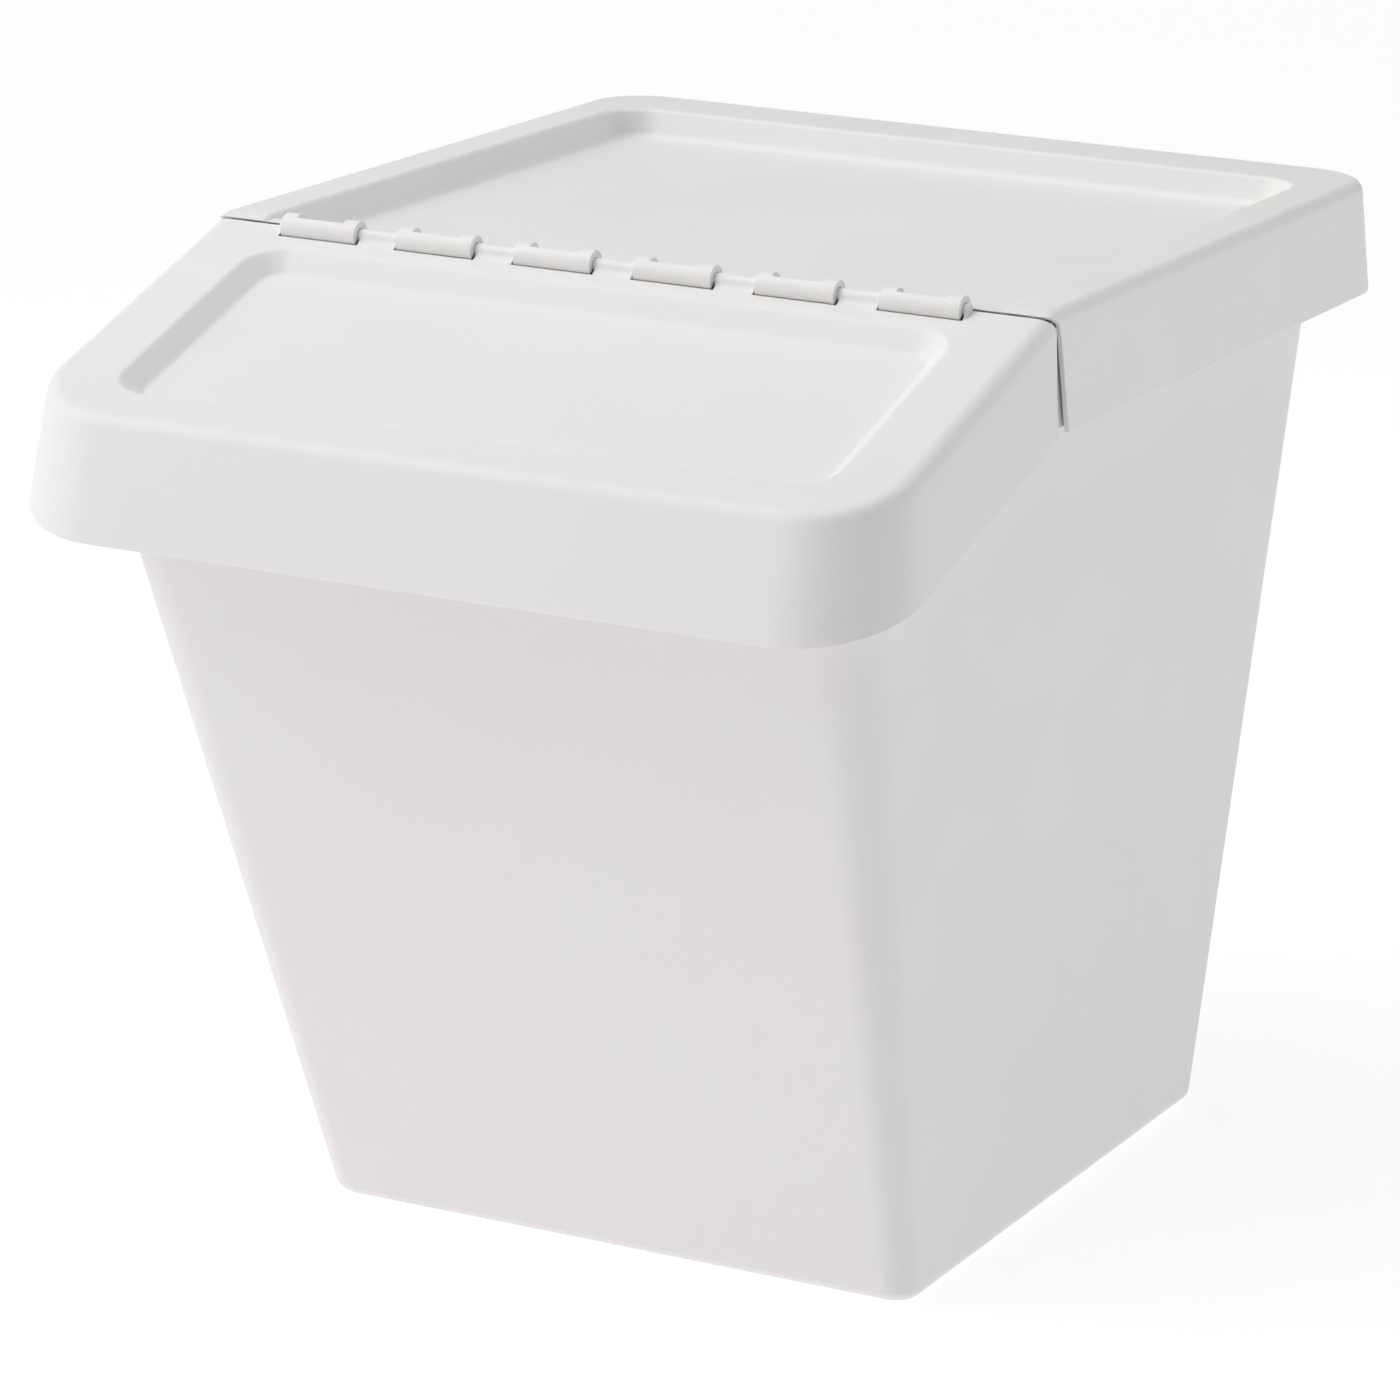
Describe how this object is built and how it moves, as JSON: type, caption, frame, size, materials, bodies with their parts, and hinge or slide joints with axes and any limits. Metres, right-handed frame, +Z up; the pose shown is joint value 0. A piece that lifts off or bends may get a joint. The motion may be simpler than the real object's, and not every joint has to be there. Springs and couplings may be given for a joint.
{
  "type": "lidded waste bin",
  "caption": "Stackable tapered waste-sorting bin with a clip-on rear lid and a hinged, sloping front flap.",
  "frame": {"origin": "middle of the whole bin's footprint, on the surface it stands on", "axes": "+Z up, -Y towards the front flap, +X across the width"},
  "size_m": [0.4, 0.55, 0.4424],
  "materials": {
    "tub_plastic": "white moulded polypropylene, fine satin texture",
    "lid_plastic": "white moulded polypropylene, fine satin texture",
    "flap_plastic": "white moulded polypropylene, fine satin texture"
  },
  "bodies": {
    "tub": {"tub": "tub_plastic"},
    "rear_lid": {"rear_lid": "lid_plastic"},
    "front_flap": {"front_flap": "flap_plastic"}
  },
  "joints": [
    {"name": "lid_lift", "type": "slide", "parent": "tub", "child": "rear_lid", "axis": [0, 0, 1], "range_m": [0, 0.15]},
    {"name": "flap_hinge", "type": "hinge", "parent": "rear_lid", "child": "front_flap", "pos_m": [0, -0.107, 0.4364], "axis": [-1, 0, 0], "range_deg": [0, 185]}
  ]
}
